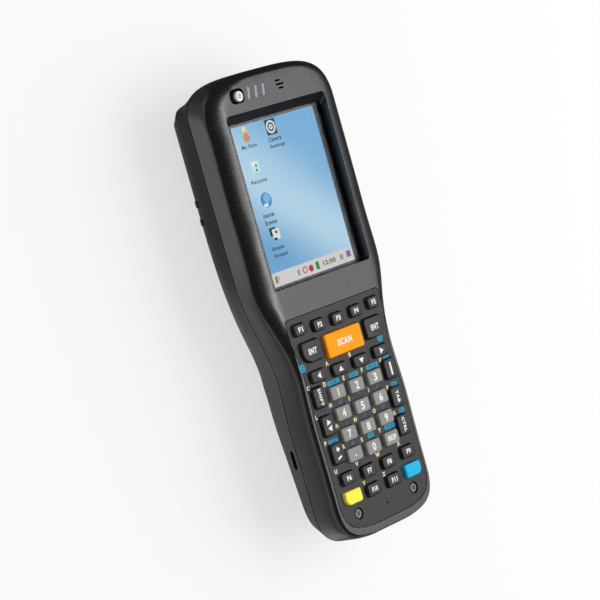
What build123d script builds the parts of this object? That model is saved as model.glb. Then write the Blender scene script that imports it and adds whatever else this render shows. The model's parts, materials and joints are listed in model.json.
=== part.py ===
from build123d import *
import os
from math import asin, atan, cos, degrees, pi, sin

# Portable barcode data terminal, lying on its back.
# Units are millimetres: X to the right, Y towards the head end, Z out of the face.
# Plan positions below are measured from the display centre; place() then moves
# everything so that the origin is the bottom centre of the whole part.

# ---- Overall plan ----
HEAD_BAND = 15.8           # top of the display recess to the head end
FLANK_WIDTH = 8.0          # rolled flank beside the display recess
HEAD_POWER = 3.5           # superellipse exponent of the head corners
PALM_SWELL = 0.8           # palm beyond the waist, each side
TAIL_SWELL = 0.5
SHOULDER_START = 34.5      # below the display centre, where the head starts to narrow
WAIST_Y = 65.5
PALM_Y = 86.0
HOLLOW_START = 5.0         # below the display centre, ends of the hollow behind the shoulder
HOLLOW_END = 67.0
CHIN_LENGTH = 12.5         # display glass to the keypad panel
TAIL_ROUND = 20.9
TAIL_POWER = 3.8
TAIL_MARGIN = 4.6          # keypad panel end to the tail end

# ---- Heights ----
FACE_Z = 34.5              # flat face plane above the back
SIDE_Z = 30.0              # lower edge of the rolled front edge
PARTING_Z = 22.7           # joint between the front and rear housings
BEVEL_Z = 11.2             # crease of the rear bevel
BACK_ROUND_Z = 2.5
ROLL_POWER = 2.1          # superellipse exponent of the rolled front edge
ROLL_CUT = 0.92           # share of that curve's height at which the face cuts it
ROLL_STEPS = 5

# ---- Insets of the outline at those heights: head side, grip side, head end, tail end ----
# and after them the hollow behind the shoulder and the length of the rounded head corner
BACK_INSET = (14.4, 14.4, 13.2, 15.0, 1.6, 3.4)
BACK_ROUND_INSET = (11.4, 11.4, 10.6, 11.0, 1.6, 3.4)
BEVEL_INSET = (5.0, 6.0, 5.5, 5.8, 1.6, 7.0)
PARTING_INSET = (0.0, 0.0, 0.2, 0.0, 0.5, 17.5)
SIDE_INSET = (0.0, 0.0, 0.2, 0.2, 0.0, 22.8)
FACE_INSET = (FLANK_WIDTH, 1.9, 3.2, 1.5, 0.0, 20.0)

# ---- Back of the grip, seen from the side ----
HUMP_END = 60.0            # below the display centre, where the flat back ends
GRIP_RISE_Y = (75.0, 90.0, 110.0)
GRIP_RISE_Z = (3.6, 6.8, 10.2)
TAIL_RISE_Z = 16.8

# ---- Shells ----
WALL = 2.2
SEAL_HEIGHT = 0.5
SEAL_INSET = 0.7
SEAL_WIDTH = 1.4

# ---- Display ----
SCREEN_WIDTH = 48.8        # lit area
SCREEN_LENGTH = 65.0
GLASS_BORDER = 4.4         # glass beyond the lit area, left and right
GLASS_END_BORDER = 1.0     # glass beyond the lit area, top and bottom
GLASS_THICK = 1.0
GLASS_RADIUS = 2.0
GLASS_GAP = 0.1
RECESS_DEPTH = 3.2
RECESS_DRAFT = 0.5
RECESS_TOP_SLOPE = 3.6     # run of the sloped wall at the head side
RECESS_LIP = 0.6           # flat rim between the recess and the flank
LEDGE_THICK = 0.6          # shelf that carries the glass
WINDOW_LAP = 0.6           # window in the shelf beyond the lit area
LCD_BORDER = 2.6
LCD_THICK = 2.7
LCD_RAISE_GAP = 0.3
GASKET_THICK = 0.5
GASKET_WIDTH = 1.2

# ---- Keypad ----
PANEL_MARGIN = 3.4         # panel edge to the widest outline
PANEL_TOP_WIDTH = 57.0
PANEL_THICK = 1.6
PANEL_GAP = 0.35
PANEL_CORNER = 1.5
PANEL_LEDGE = 0.6
PANEL_TAIL = 13.2          # last key row to the panel's tail end
KEY_RISE = 1.5             # key tops above the face
KEY_GAP = 0.3
KEY_TRAVEL = 0.8
KEY_FLANGE_LIP = 0.5
KEY_FLANGE_THICK = 0.7
KEY_STEM_DIAMETER = 3.0
KEY_STEM_LENGTH = 0.8
KEY_CHAMFER = 0.4
KEY_CORNER = 1.1
ROW_ARC = 1.0              # outer keys of a row sit higher by this at ARC_REACH
ARC_REACH = 22.5
MAT_THICK = 0.8
BOARD_THICK = 1.2
INNER_GAP = 0.3

FUNCTION_ROW_Y = 5.8       # rows below the panel's head edge
SCAN_ROW_Y = FUNCTION_ROW_Y + 9.4
ARROW_ROW_Y = SCAN_ROW_Y + 10.1
DIGIT_ROW_Y = ARROW_ROW_Y + 8.5
DIGIT_ROW_PITCH = 8.6
DIGIT_PITCH = 11.5
SIDE_ROW_PITCH = 1.5 * DIGIT_ROW_PITCH - 1.2
LOWER_FUNCTION_ROW_Y = DIGIT_ROW_Y + 3 * DIGIT_ROW_PITCH + 8.3
COLOUR_ROW_Y = LOWER_FUNCTION_ROW_Y + 7.7
FUNCTION_EDGE = 6.0        # outer key centre to the panel edge, row by row
ENTER_EDGE = 7.55
ARROW_EDGE = 7.2
SIDE_EDGE = 5.0
SIDE_EDGE_STEP = 0.65
LOWER_FUNCTION_EDGE = 8.1
COLOUR_EDGE = 8.0
FUNCTION_KEY = (7.0, 4.7)
ENTER_KEY = (11.0, 8.5)
SCAN_KEY = (22.0, 9.7)
ARROW_KEY = (9.0, 4.7)
DIGIT_KEY = (8.6, 5.5)
SIDE_KEY = (6.8, 8.5)
LOWER_KEY = (8.0, 5.0)
COLOUR_KEY = (9.7, 5.5)
ENTER_ROOM = 4.3           # scan to enter gap and enter to panel edge, together
ENTER_ROUND = 4.2          # large radius of the enter keys' outer corner
COLOUR_ROUND = 2.6

# ---- Head face, with the features' distance from the head end ----
BUTTON_X, BUTTON_DOWN = -18.4, 9.2
BUTTON_DIAMETER = 4.2
BUTTON_FLANGE_DIAMETER = 5.8
BUTTON_TRAVEL = 0.5
BUTTON_STEM_DIAMETER = 2.0
PILL_X, PILL_DOWN = -20.0, 9.0
PILL_SIZE = (8.0, 6.0)
PILL_ROUND = 2.2
PILL_DEPTH = 1.2
ROOF_THICK = 2.2
LIGHT_X = (-13.0, -8.7, -4.4)
LIGHT_DOWN = 9.0
LIGHT_SIZE = (1.3, 5.0)
LIGHT_LEAN = -14.0
LIGHT_CORNER = 0.5
LIGHT_DEPTH = 4.0
EARPIECE_X, EARPIECE_DOWN = 5.3, 8.6
EARPIECE_SIZE = (12.0, 6.0, 2.8)
GRILLE_ROWS = ((-0.8, 1.6, 3.0), (0.0, 0.0, 4.5), (0.3, -1.6, 3.0))
GRILLE_SLOT = 0.8

# ---- Battery bay, cover and latch ----
BAY_HALF_WIDTH = 18.5
BAY_HEAD_Y = 18.5
BAY_TAIL_Y = -42.0
BAY_WALL = 1.5
BAY_CEILING_Z = 17.3       # underside of the bay's ceiling
COVER_GAP = 0.3
COVER_THICK = 2.0
COVER_LIFT = 0.3           # cover's outer face above the back plane
HINGE_RADIUS = 2.0
HINGE_GAP = 0.35
PIN_RADIUS = 0.8
PIN_LENGTH = 1.7
PIN_FIT = 0.08             # radial running clearance of the hinge pins
BATTERY_HEIGHT = 14.4
BATTERY_LENGTH = 45.0
BATTERY_GAP = 0.4
BATTERY_CORNER = 1.5
STOP_THICK = 1.5
LATCH_PLATE = (14.0, 6.2, 1.2)
LATCH_TONGUE = (10.0, 1.5)
LATCH_THUMB = (9.0, 3.0)
LATCH_TRAVEL = 1.8
LATCH_EDGE = 0.2           # tongue tip behind the cover's edge while open
RAIL_THICK = 1.2
RAIL_LIP = 1.3
RAIL_LIP_THICK = 0.8

# ---- Boards and scanning ----
MAIN_BOARD_THICK = 1.2
MAIN_BOARD_TAIL_Y = -38.0
CAN_SIZE = (50.0, 50.0, 4.0)
CAN_Y = -8.0
CONTACT_BLOCK = (12.0, 4.0)
CONTACT_BLOCK_Y = -18.0
ENGINE_WIDTH = 24.0
ENGINE_HEIGHT = 11.0
ENGINE_END = 9.8           # scan engine to the head end
ENGINE_Z = 10.0
SCAN_WINDOW_SIZE = (26.0, 8.0, 1.2)
SCAN_WINDOW_LAND = (4.0, 3.0)
SCAN_WINDOW_LAP = 1.6
SCAN_WINDOW_RECESS = 0.4

# ---- Fasteners, strap slot, charging contacts ----
PANEL_SCREW_X = 17.4
PANEL_SCREW_UP = 11.1      # from the tail end
PANEL_SCREW_HEAD = (3.8, 0.6)
PANEL_SCREW_RECESS = (5.0, 0.9)
PANEL_SCREW_LENGTH = 6.0
SCREW_CROSS = (2.2, 0.5, 0.35)
SCREW_SHANK = 2.0
SCREW_CLEARANCE = 0.1
HEAD_SCREW_IN = 1.4        # head screws inside the lit area's sides
HEAD_SCREW_OUT = 3.4       # and beyond the display module's end
HEAD_SCREW_SEAT = 8.0
HOUSING_TAIL_SCREW_X = 10.5
HOUSING_TAIL_SCREW_UP = 9.4
HOUSING_TAIL_SCREW_SEAT = 20.5
HOUSING_SCREW_HEAD = (4.0, 1.5)
HOUSING_SCREW_BORE = 4.4
HOUSING_BOSS = 6.4
FRONT_BOSS = 4.6
SCREW_BITE = 5.0
TAIL_BLOCK_UP = 14.2       # solid end of the front housing, from the tail end
MIC_UP = 10.2
MIC_DIAMETER = 1.0
STRAP_UP = 37.9
STRAP_SLOT = (7.9, 3.8, 4.6)
STRAP_SLOT_ROUND = 1.7
STRAP_Z = 17.4
STRAP_BAR = 1.6
STRAP_BAR_IN = 3.4         # bar centre below the slot's mouth
STRAP_BLOCK = 2.0
RIB_Y = (7.0, -0.5)        # short ribs on the rear bevel
RIB_SIZE = (1.6, 2.6, 5.0)
RIB_PROUD = 0.45
RIB_Z = 5.0
CONTACT_COUNT = 5
CONTACT_PITCH = 4.0
CONTACT_SIZE = (2.0, 4.0)
CONTACT_UP = 21.4
CONTACT_SINK = 0.2

# ---- Derived sizes ----
HEAD_REACH = (SCREEN_LENGTH / 2 + GLASS_END_BORDER + GLASS_GAP + RECESS_TOP_SLOPE
              + HEAD_BAND)
PANEL_START = SCREEN_LENGTH / 2 + GLASS_END_BORDER + CHIN_LENGTH
PANEL_LENGTH = COLOUR_ROW_Y + PANEL_TAIL
GRIP_REACH = PANEL_START + PANEL_LENGTH + TAIL_MARGIN
SHIFT_Y = (GRIP_REACH - HEAD_REACH) / 2
KEY_TOP_Z = FACE_Z + KEY_RISE
GLASS_W = SCREEN_WIDTH + 2 * GLASS_BORDER
GLASS_L = SCREEN_LENGTH + 2 * GLASS_END_BORDER
GLASS_Z = FACE_Z - RECESS_DEPTH
LEDGE_Z = GLASS_Z - GLASS_THICK
LCD_POCKET_Z = LEDGE_Z - LEDGE_THICK
RECESS_HALF = GLASS_W / 2 + GLASS_GAP + RECESS_DRAFT
HEAD_WIDTH = 2 * (RECESS_HALF + RECESS_LIP + FLANK_WIDTH)
WAIST_WIDTH = 2 * (SCAN_KEY[0] / 2 + ENTER_KEY[0] + ENTER_ROOM + PANEL_MARGIN)
PALM_WIDTH = WAIST_WIDTH + 2 * PALM_SWELL
TAIL_WIDTH = WAIST_WIDTH + 2 * TAIL_SWELL
BUTTON_Y = HEAD_REACH - BUTTON_DOWN
PILL_Y = HEAD_REACH - PILL_DOWN
LIGHT_Y = HEAD_REACH - LIGHT_DOWN
EARPIECE_Y = HEAD_REACH - EARPIECE_DOWN
STRAP_Y = STRAP_UP - GRIP_REACH
CONTACT_Y = CONTACT_UP - GRIP_REACH
PANEL_Z = FACE_Z - PANEL_THICK
FLANGE_Z = PANEL_Z - INNER_GAP
STEM_Z = FLANGE_Z - KEY_FLANGE_THICK - KEY_STEM_LENGTH
MAT_Z = FLANGE_Z - KEY_FLANGE_THICK - KEY_TRAVEL - INNER_GAP
BOARD_Z = MAT_Z - MAT_THICK
CAVITY_Z = BOARD_Z - BOARD_THICK
LCD_BASE_Z = LCD_POCKET_Z - GASKET_THICK - LCD_THICK
MAIN_BOARD_Z = LCD_BASE_Z - INNER_GAP
TAIL_BLOCK_Y = TAIL_BLOCK_UP - GRIP_REACH
FRONT_BASE_Z = PARTING_Z + SEAL_HEIGHT / 2
REAR_TOP_Z = PARTING_Z - SEAL_HEIGHT / 2
HINGE_Z = COVER_LIFT + HINGE_RADIUS
HINGE_Y = BAY_HEAD_Y - HINGE_GAP - HINGE_RADIUS
COVER_IN_Z = COVER_LIFT + COVER_THICK
COVER_HALF = BAY_HALF_WIDTH - COVER_GAP
COVER_TAIL_Y = BAY_TAIL_Y + COVER_GAP
BATTERY_HEAD_Y = HINGE_Y - HINGE_RADIUS - BATTERY_GAP
BATTERY_TAIL_Y = BATTERY_HEAD_Y - BATTERY_LENGTH
BATTERY_Z = BAY_CEILING_Z - INNER_GAP - BATTERY_HEIGHT
BAY_TOP_Z = BAY_CEILING_Z + BAY_WALL
ENGINE_TAIL_Y = BAY_HEAD_Y + BAY_WALL + INNER_GAP
ROUND_STEPS = 6            # points along each rounded end of an outline
SIDE_STEPS = 9            # points along each side of an outline
TALL = 2 * FACE_Z           # reach of cutting tools past the part


# ---- Outline of the body ----
def roll_levels():
    """Front edge: a superellipse from the upright side to the face that cuts it off."""
    power = 2 / ROLL_POWER
    last = asin(ROLL_CUT ** (1 / power))
    reach = 1 - cos(last) ** power
    levels = []
    for step in range(1, ROLL_STEPS + 1):
        angle = last * step / ROLL_STEPS
        z = SIDE_Z + (FACE_Z - SIDE_Z) * sin(angle) ** power / ROLL_CUT
        share = (1 - cos(angle) ** power) / reach
        levels.append((z, blend(SIDE_INSET, FACE_INSET, share)))
    return levels


def blend(low, high, share):
    return tuple(a + (b - a) * share for a, b in zip(low, high))


LEVELS = [(0.0, BACK_INSET), (BACK_ROUND_Z, BACK_ROUND_INSET), (BEVEL_Z, BEVEL_INSET),
          (PARTING_Z, PARTING_INSET), (SIDE_Z, SIDE_INSET)] + roll_levels()


def ease(t):
    t = min(max(t, 0.0), 1.0)
    return t * t * (3 - 2 * t)


def half_width(y):
    """Widest half-width at y: flat over the head, eased to waist, palm and tail."""
    tail_y = GRIP_REACH - TAIL_ROUND
    stations = ((SHOULDER_START, HEAD_WIDTH / 2), (WAIST_Y, WAIST_WIDTH / 2),
                (PALM_Y, PALM_WIDTH / 2), (tail_y, TAIL_WIDTH / 2))
    width = stations[0][1]
    for (y0, w0), (y1, w1) in zip(stations, stations[1:]):
        width += (w1 - w0) * ease((-y - y0) / (y1 - y0))
    return width


def outline_points(insets, extra=0.0):
    """Right half of the outline from the head end to the tail end."""
    head_side, grip_side, head_end, tail_end = (inset + extra for inset in insets[:4])
    hollow, head_round = insets[4:]
    head_y = HEAD_REACH - head_end - head_round
    tail_y = TAIL_ROUND - GRIP_REACH

    def width(y):
        share = ease((-y - SHOULDER_START) / (WAIST_Y - SHOULDER_START))
        along = min(max((-y - HOLLOW_START) / (HOLLOW_END - HOLLOW_START), 0.0), 1.0)
        side = head_side + (grip_side - head_side) * share
        return half_width(y) - side - hollow * sin(pi * along) ** 2

    points = []
    for step in range(ROUND_STEPS):
        angle = pi / 2 * step / ROUND_STEPS
        y = head_y + head_round * cos(angle) ** (2 / HEAD_POWER)
        points.append((width(y) * sin(angle) ** (2 / HEAD_POWER), y))
    for step in range(SIDE_STEPS):
        y = head_y + (tail_y - head_y) * step / SIDE_STEPS
        points.append((width(y), y))
    for step in range(ROUND_STEPS + 1):
        angle = pi / 2 * step / ROUND_STEPS
        y = tail_y - (TAIL_ROUND - tail_end) * sin(angle) ** (2 / TAIL_POWER)
        across = cos(angle) if step < ROUND_STEPS else 0.0
        points.append((width(y) * across ** (2 / TAIL_POWER), y))
    return points


def outline_face(insets, extra=0.0):
    """Outline as one spline per rounded corner and one per side."""
    right = outline_points(insets, extra)
    joints = (0, ROUND_STEPS, ROUND_STEPS + SIDE_STEPS, len(right) - 1)
    headings = (Vector(1, 0), Vector(0, -1), Vector(0, -1), Vector(-1, 0))
    edges = []
    for i in range(3):
        points = [Vector(x, y) for x, y in right[joints[i]:joints[i + 1] + 1]]
        edge = Spline(*points, tangents=headings[i:i + 2])
        edges += [edge, mirror(edge, about=Plane.YZ)]
    return make_face(edges)


def insets_at(z):
    for (z0, low), (z1, high) in zip(LEVELS, LEVELS[1:]):
        if z <= z1:
            return blend(low, high, (z - z0) / (z1 - z0))
    return LEVELS[-1][1]


def stack(low_z, high_z, extra=0.0):
    """Body between two heights, drawn in by extra all round."""
    heights = [low_z] + [z for z, _ in LEVELS if low_z < z < high_z] + [high_z]
    sections = [Pos(0, 0, z) * outline_face(insets_at(z), extra) for z in heights]
    return loft(sections, ruled=True)


def back_profile(lift=0.0):
    """Everything above the back of the part, lifted by lift, as seen from the side."""
    tail_y = -GRIP_REACH - TAIL_MARGIN
    rise = [(-HUMP_END, 0.0)]
    rise += [(-y, z) for y, z in zip(GRIP_RISE_Y, GRIP_RISE_Z)]
    rise.append((tail_y, TAIL_RISE_Z))
    curve = Spline(*[Vector(0, y, z + lift) for y, z in rise],
                   tangents=[Vector(0, -1, 0), Vector(0, -1, 0.15)])
    head = Vector(0, HEAD_REACH + TAIL_MARGIN, lift)
    rest = Polyline(curve @ 1, Vector(0, tail_y, TALL),
                    Vector(0, head.Y, TALL), head, curve @ 0)
    return extrude(make_face([curve, rest]), TALL, both=True)


def back_z(y):
    """Height of the back surface at y, from a straight line between its stations."""
    ys = (HUMP_END,) + GRIP_RISE_Y + (GRIP_REACH + TAIL_MARGIN,)
    zs = (0.0,) + GRIP_RISE_Z + (TAIL_RISE_Z,)
    for y0, y1, z0, z1 in zip(ys, ys[1:], zs, zs[1:]):
        if y0 <= -y <= y1:
            return z0 + (z1 - z0) * (-y - y0) / (y1 - y0)
    return 0.0


# ---- Small helpers ----
def block(x0, x1, y0, y1, z0, z1):
    size = (x1 - x0, y1 - y0, z1 - z0)
    return Pos((x0 + x1) / 2, (y0 + y1) / 2, (z0 + z1) / 2) * Box(*size)


def slab(sketch, z0, z1):
    return extrude(Pos(0, 0, z0) * sketch, z1 - z0)


def rod(diameter, x, y, z0, z1):
    return Pos(x, y, (z0 + z1) / 2) * Cylinder(diameter / 2, z1 - z0)


def place(shape):
    return Pos(0, SHIFT_Y, 0) * shape


def mirror_pair(x):
    return (-x, x)


# ---- Keypad layout ----
def panel_half(y):
    return min(half_width(y) - PANEL_MARGIN, PANEL_TOP_WIDTH / 2)


def panel_outline(grow=0.0, end_y=None):
    inset = PANEL_MARGIN - grow
    outline = outline_face((inset, inset, inset, TAIL_MARGIN - grow) + SIDE_INSET[4:])
    top = -PANEL_START + grow
    low = -GRIP_REACH - TAIL_MARGIN if end_y is None else end_y
    width = PANEL_TOP_WIDTH + 2 * grow
    frame = RectangleRounded(width, top - low, PANEL_CORNER + grow)
    return outline & Pos(0, (top + low) / 2) * frame


def row_x(y, edge, count):
    reach = panel_half(y) - edge
    return [reach * (2 * i / (count - 1) - 1) for i in range(count)]


def key_layout():
    """Name, x, y, (width, length) and large outer corner of every key."""
    keys = []

    def add(name, x, row_y, size, corner=0.0):
        y = -PANEL_START - row_y + ROW_ARC * (x / ARC_REACH) ** 2
        keys.append((name, x, y, size, corner))

    def row(names, row_y, edge, size):
        for name, x in zip(names, row_x(-PANEL_START - row_y, edge, len(names))):
            add(name, x, row_y, size)

    row([f"key_f{n}" for n in range(1, 6)], FUNCTION_ROW_Y, FUNCTION_EDGE, FUNCTION_KEY)
    left, right = row_x(-PANEL_START - SCAN_ROW_Y, ENTER_EDGE, 2)
    add("key_enter_left", left, SCAN_ROW_Y, ENTER_KEY, ENTER_ROUND)
    add("key_enter_right", right, SCAN_ROW_Y, ENTER_KEY, ENTER_ROUND)
    add("key_scan", 0.0, SCAN_ROW_Y, SCAN_KEY)
    row(["key_left", "key_up", "key_down", "key_right"],
        ARROW_ROW_Y, ARROW_EDGE, ARROW_KEY)
    digits = ("key_1", "key_2", "key_3", "key_4", "key_5", "key_6",
              "key_7", "key_8", "key_9", "key_point", "key_0", "key_backspace")
    for index, name in enumerate(digits):
        line, column = divmod(index, 3)
        add(name, (column - 1) * DIGIT_PITCH, DIGIT_ROW_Y + line * DIGIT_ROW_PITCH,
            DIGIT_KEY)
    for line, level in enumerate(("upper", "middle", "lower")):
        row_y = DIGIT_ROW_Y + line * SIDE_ROW_PITCH
        edge = SIDE_EDGE + line * SIDE_EDGE_STEP
        left, right = row_x(-PANEL_START - row_y, edge, 2)
        add(f"key_side_left_{level}", left, row_y, SIDE_KEY)
        add(f"key_side_right_{level}", right, row_y, SIDE_KEY)
    row(["key_f6", "key_f7", "key_f8", "key_f9"],
        LOWER_FUNCTION_ROW_Y, LOWER_FUNCTION_EDGE, LOWER_KEY)
    yellow, f10, f11, blue = row_x(-PANEL_START - COLOUR_ROW_Y, COLOUR_EDGE, 4)
    add("key_yellow", yellow, COLOUR_ROW_Y, COLOUR_KEY, COLOUR_ROUND)
    add("key_f10", f10, COLOUR_ROW_Y, LOWER_KEY)
    add("key_f11", f11, COLOUR_ROW_Y, LOWER_KEY)
    add("key_blue", blue, COLOUR_ROW_Y, COLOUR_KEY, COLOUR_ROUND)
    return keys


def key_outline(key, grow=0.0):
    """Rounded rectangle, some with a larger radius at the outer corner near the tail."""
    _, x, y, (width, length), corner = key
    shape = RectangleRounded(width + 2 * grow, length + 2 * grow, KEY_CORNER + grow)
    if corner:
        side = 1 if x > 0 else -1
        inner = Pos(side * (width / 2 - corner), corner - length / 2)
        reach = corner + grow
        square = inner * Pos(side * reach / 2, -reach / 2) * Rectangle(reach, reach)
        shape = shape - (square - inner * Circle(reach))
    return Pos(x, y) * shape


def key_solid(key):
    _, x, y, _, _ = key
    cap = slab(key_outline(key), FLANGE_Z - KEY_FLANGE_THICK, KEY_TOP_Z)
    cap = chamfer(cap.faces().sort_by(Axis.Z)[-1].edges(), KEY_CHAMFER)
    flange = slab(key_outline(key, KEY_FLANGE_LIP), FLANGE_Z - KEY_FLANGE_THICK, FLANGE_Z)
    stem = rod(KEY_STEM_DIAMETER, x, y, STEM_Z, FLANGE_Z - KEY_FLANGE_THICK)
    return cap + flange + stem


# ---- Keypad pieces ----
def screw_spots():
    """Panel screws, as x, y."""
    return [(x, PANEL_SCREW_UP - GRIP_REACH) for x in mirror_pair(PANEL_SCREW_X)]


def keypad_panel(keys):
    holes = [key_outline(key, KEY_GAP) for key in keys]
    holes += [Pos(x, y) * Circle(SCREW_SHANK / 2 + SCREW_CLEARANCE) for x, y in screw_spots()]
    holes.append(Pos(0, MIC_UP - GRIP_REACH) * Circle(MIC_DIAMETER / 2))
    panel = slab(panel_outline() - holes, PANEL_Z, FACE_Z)
    return panel - [rod(PANEL_SCREW_RECESS[0], x, y, FACE_Z - PANEL_SCREW_RECESS[1], FACE_Z)
                    for x, y in screw_spots()]


def keypad_mat(keys):
    end_y = TAIL_BLOCK_Y + INNER_GAP
    holes = [Pos(key[1], key[2]) * Circle(KEY_STEM_DIAMETER / 2 + INNER_GAP) for key in keys]
    return slab(panel_outline(-PANEL_LEDGE - INNER_GAP, end_y) - holes, BOARD_Z, MAT_Z)


def keypad_board():
    end_y = TAIL_BLOCK_Y + INNER_GAP
    return slab(panel_outline(-PANEL_LEDGE - INNER_GAP, end_y), CAVITY_Z, BOARD_Z)


def panel_screws():
    head, rise = PANEL_SCREW_HEAD
    seat = FACE_Z - PANEL_SCREW_RECESS[1]
    reach, width, depth = SCREW_CROSS
    top = seat + rise
    screws = []
    for x, y in screw_spots():
        cap = chamfer(rod(head, x, y, seat, top).edges().sort_by(Axis.Z)[-1], 0.2)
        cross = [Pos(x, y, top) * Rot(0, 0, turn) * Box(reach, width, 2 * depth)
                 for turn in (45, 135)]
        screws.append(cap + rod(SCREW_SHANK, x, y, seat - PANEL_SCREW_LENGTH, seat) - cross)
    return screws


# ---- Display pieces ----
def display_glass():
    return slab(RectangleRounded(GLASS_W, GLASS_L, GLASS_RADIUS), LEDGE_Z, GLASS_Z)


def lcd_size(raised):
    if raised:
        lap = 2 * (WINDOW_LAP - LCD_RAISE_GAP)
        return SCREEN_WIDTH + lap, SCREEN_LENGTH + lap
    return SCREEN_WIDTH + 2 * LCD_BORDER, SCREEN_LENGTH + 2 * LCD_BORDER


def window_size():
    return SCREEN_WIDTH + 2 * WINDOW_LAP, SCREEN_LENGTH + 2 * WINDOW_LAP


def lcd_module():
    top = LCD_POCKET_Z - GASKET_THICK
    base = slab(Rectangle(*lcd_size(False)), LCD_BASE_Z, top)
    return base + slab(Rectangle(*lcd_size(True)), top, LEDGE_Z - GLASS_GAP / 2)


def display_gasket():
    width, length = lcd_size(False)
    inner = Rectangle(*window_size())
    return slab(Rectangle(width, length) - inner, LCD_POCKET_Z - GASKET_THICK, LCD_POCKET_Z)


# ---- Front housing ----
def display_recess():
    width = GLASS_W + 2 * GLASS_GAP
    length = GLASS_L + 2 * GLASS_GAP
    radius = GLASS_RADIUS + GLASS_GAP
    top_width = width + 2 * RECESS_DRAFT
    top_length = length + RECESS_DRAFT / 2 + RECESS_TOP_SLOPE
    top_y = (RECESS_TOP_SLOPE - RECESS_DRAFT / 2) / 2
    floor = Pos(0, 0, GLASS_Z) * RectangleRounded(width, length, radius)
    mouth = Pos(0, top_y, FACE_Z) * RectangleRounded(top_width, top_length, radius)
    recess = loft([floor, mouth], ruled=True)
    return recess + slab(RectangleRounded(width, length, radius), LEDGE_Z, GLASS_Z)


def light_bars(grow=0.0, top=FACE_Z - 0.1):
    width, length = LIGHT_SIZE
    shape = RectangleRounded(width + 2 * grow, length + 2 * grow, LIGHT_CORNER + grow)
    return [slab(Pos(x, LIGHT_Y) * Rot(0, 0, LIGHT_LEAN) * shape,
                 FACE_Z - LIGHT_DEPTH, top) for x in LIGHT_X]


def housing_screw_spots():
    """Head and tail housing screws, as x, y, seat height."""
    head_y = SCREEN_LENGTH / 2 + LCD_BORDER + HEAD_SCREW_OUT
    head = [(x, head_y, HEAD_SCREW_SEAT)
            for x in mirror_pair(SCREEN_WIDTH / 2 - HEAD_SCREW_IN)]
    y = HOUSING_TAIL_SCREW_UP - GRIP_REACH
    tail = [(x, y, HOUSING_TAIL_SCREW_SEAT) for x in mirror_pair(HOUSING_TAIL_SCREW_X)]
    return head + tail


def front_cavity():
    """Room inside the front housing, with pockets for the display and head parts."""
    room = stack(FRONT_BASE_Z, CAVITY_Z, WALL)
    room -= block(-TALL, TALL, -GRIP_REACH - WALL, TAIL_BLOCK_Y, 0, TALL)
    width, length = lcd_size(False)
    display = block(-width / 2 - INNER_GAP, width / 2 + INNER_GAP,
                  -length / 2 - INNER_GAP, length / 2 + INNER_GAP, FRONT_BASE_Z, LCD_POCKET_Z)
    roof_z = FACE_Z - ROOF_THICK
    pocket = SCREEN_WIDTH / 2 + WINDOW_LAP
    recess_top = GLASS_L / 2 + GLASS_GAP + RECESS_TOP_SLOPE
    head_end = HEAD_REACH - FACE_INSET[2] - ROOF_THICK
    head = block(-pocket, pocket, recess_top + LEDGE_THICK, head_end, CAVITY_Z, roof_z)
    chin_low = -PANEL_START + 2 * LEDGE_THICK
    chin_high = -length / 2 - 2 * LEDGE_THICK
    chin = block(-pocket, pocket, chin_low, chin_high, CAVITY_Z, roof_z)
    return [room, display, head, chin]


def front_holes():
    """Everything that is cut through the front housing's face and bosses."""
    seat = FACE_Z - PANEL_SCREW_RECESS[1]
    roof_z = FACE_Z - ROOF_THICK
    shank = SCREW_SHANK + 2 * SCREW_CLEARANCE
    pill = Pos(PILL_X, PILL_Y) * RectangleRounded(*PILL_SIZE, PILL_ROUND)
    holes = [
        display_recess(),
        slab(Rectangle(*window_size()), LCD_POCKET_Z, LEDGE_Z),
        slab(panel_outline(PANEL_GAP), PANEL_Z, FACE_Z),
        slab(panel_outline(-PANEL_LEDGE, TAIL_BLOCK_Y), CAVITY_Z, PANEL_Z),
        slab(pill, FACE_Z - PILL_DEPTH, FACE_Z),
        rod(BUTTON_DIAMETER + 2 * KEY_GAP, BUTTON_X, BUTTON_Y, roof_z, FACE_Z),
    ]
    holes += light_bars(SCREW_CLEARANCE, FACE_Z)
    for dx, dy, length in GRILLE_ROWS:
        slot = Pos(EARPIECE_X + dx, EARPIECE_Y + dy) * RectangleRounded(
            length, GRILLE_SLOT, GRILLE_SLOT / 2 - 0.02)
        holes.append(slab(slot, roof_z, FACE_Z))
    for x, y in screw_spots():
        holes.append(rod(shank, x, y, seat - PANEL_SCREW_LENGTH - SCREW_CLEARANCE, PANEL_Z))
    for x, y, _ in housing_screw_spots():
        holes.append(rod(shank, x, y, FRONT_BASE_Z, FRONT_BASE_Z + SCREW_BITE + SCREW_CLEARANCE))
    return holes


def front_housing():
    bosses = [rod(FRONT_BOSS, x, y, FRONT_BASE_Z, FACE_Z - ROOF_THICK)
              for x, y, _ in housing_screw_spots() if y > TAIL_BLOCK_Y]
    return stack(FRONT_BASE_Z, FACE_Z) - front_cavity() + bosses - front_holes()


def power_button():
    cap_z = FACE_Z - SCREW_CLEARANCE
    roof_z = FACE_Z - ROOF_THICK - INNER_GAP
    cap = rod(BUTTON_DIAMETER, BUTTON_X, BUTTON_Y, roof_z - KEY_FLANGE_THICK, cap_z)
    cap = chamfer(cap.edges().sort_by(Axis.Z)[-1], 0.3)
    flange = rod(BUTTON_FLANGE_DIAMETER, BUTTON_X, BUTTON_Y,
                 roof_z - KEY_FLANGE_THICK, roof_z)
    foot = MAIN_BOARD_Z + 2 * INNER_GAP + BUTTON_TRAVEL
    stem = rod(BUTTON_STEM_DIAMETER, BUTTON_X, BUTTON_Y, foot, roof_z)
    return cap + flange + stem


def earpiece_speaker():
    width, length, height = EARPIECE_SIZE
    top = FACE_Z - ROOF_THICK - SCREW_CLEARANCE
    return (Pos(EARPIECE_X, EARPIECE_Y, top - height / 2)
            * Box(width, length, height))


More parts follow.
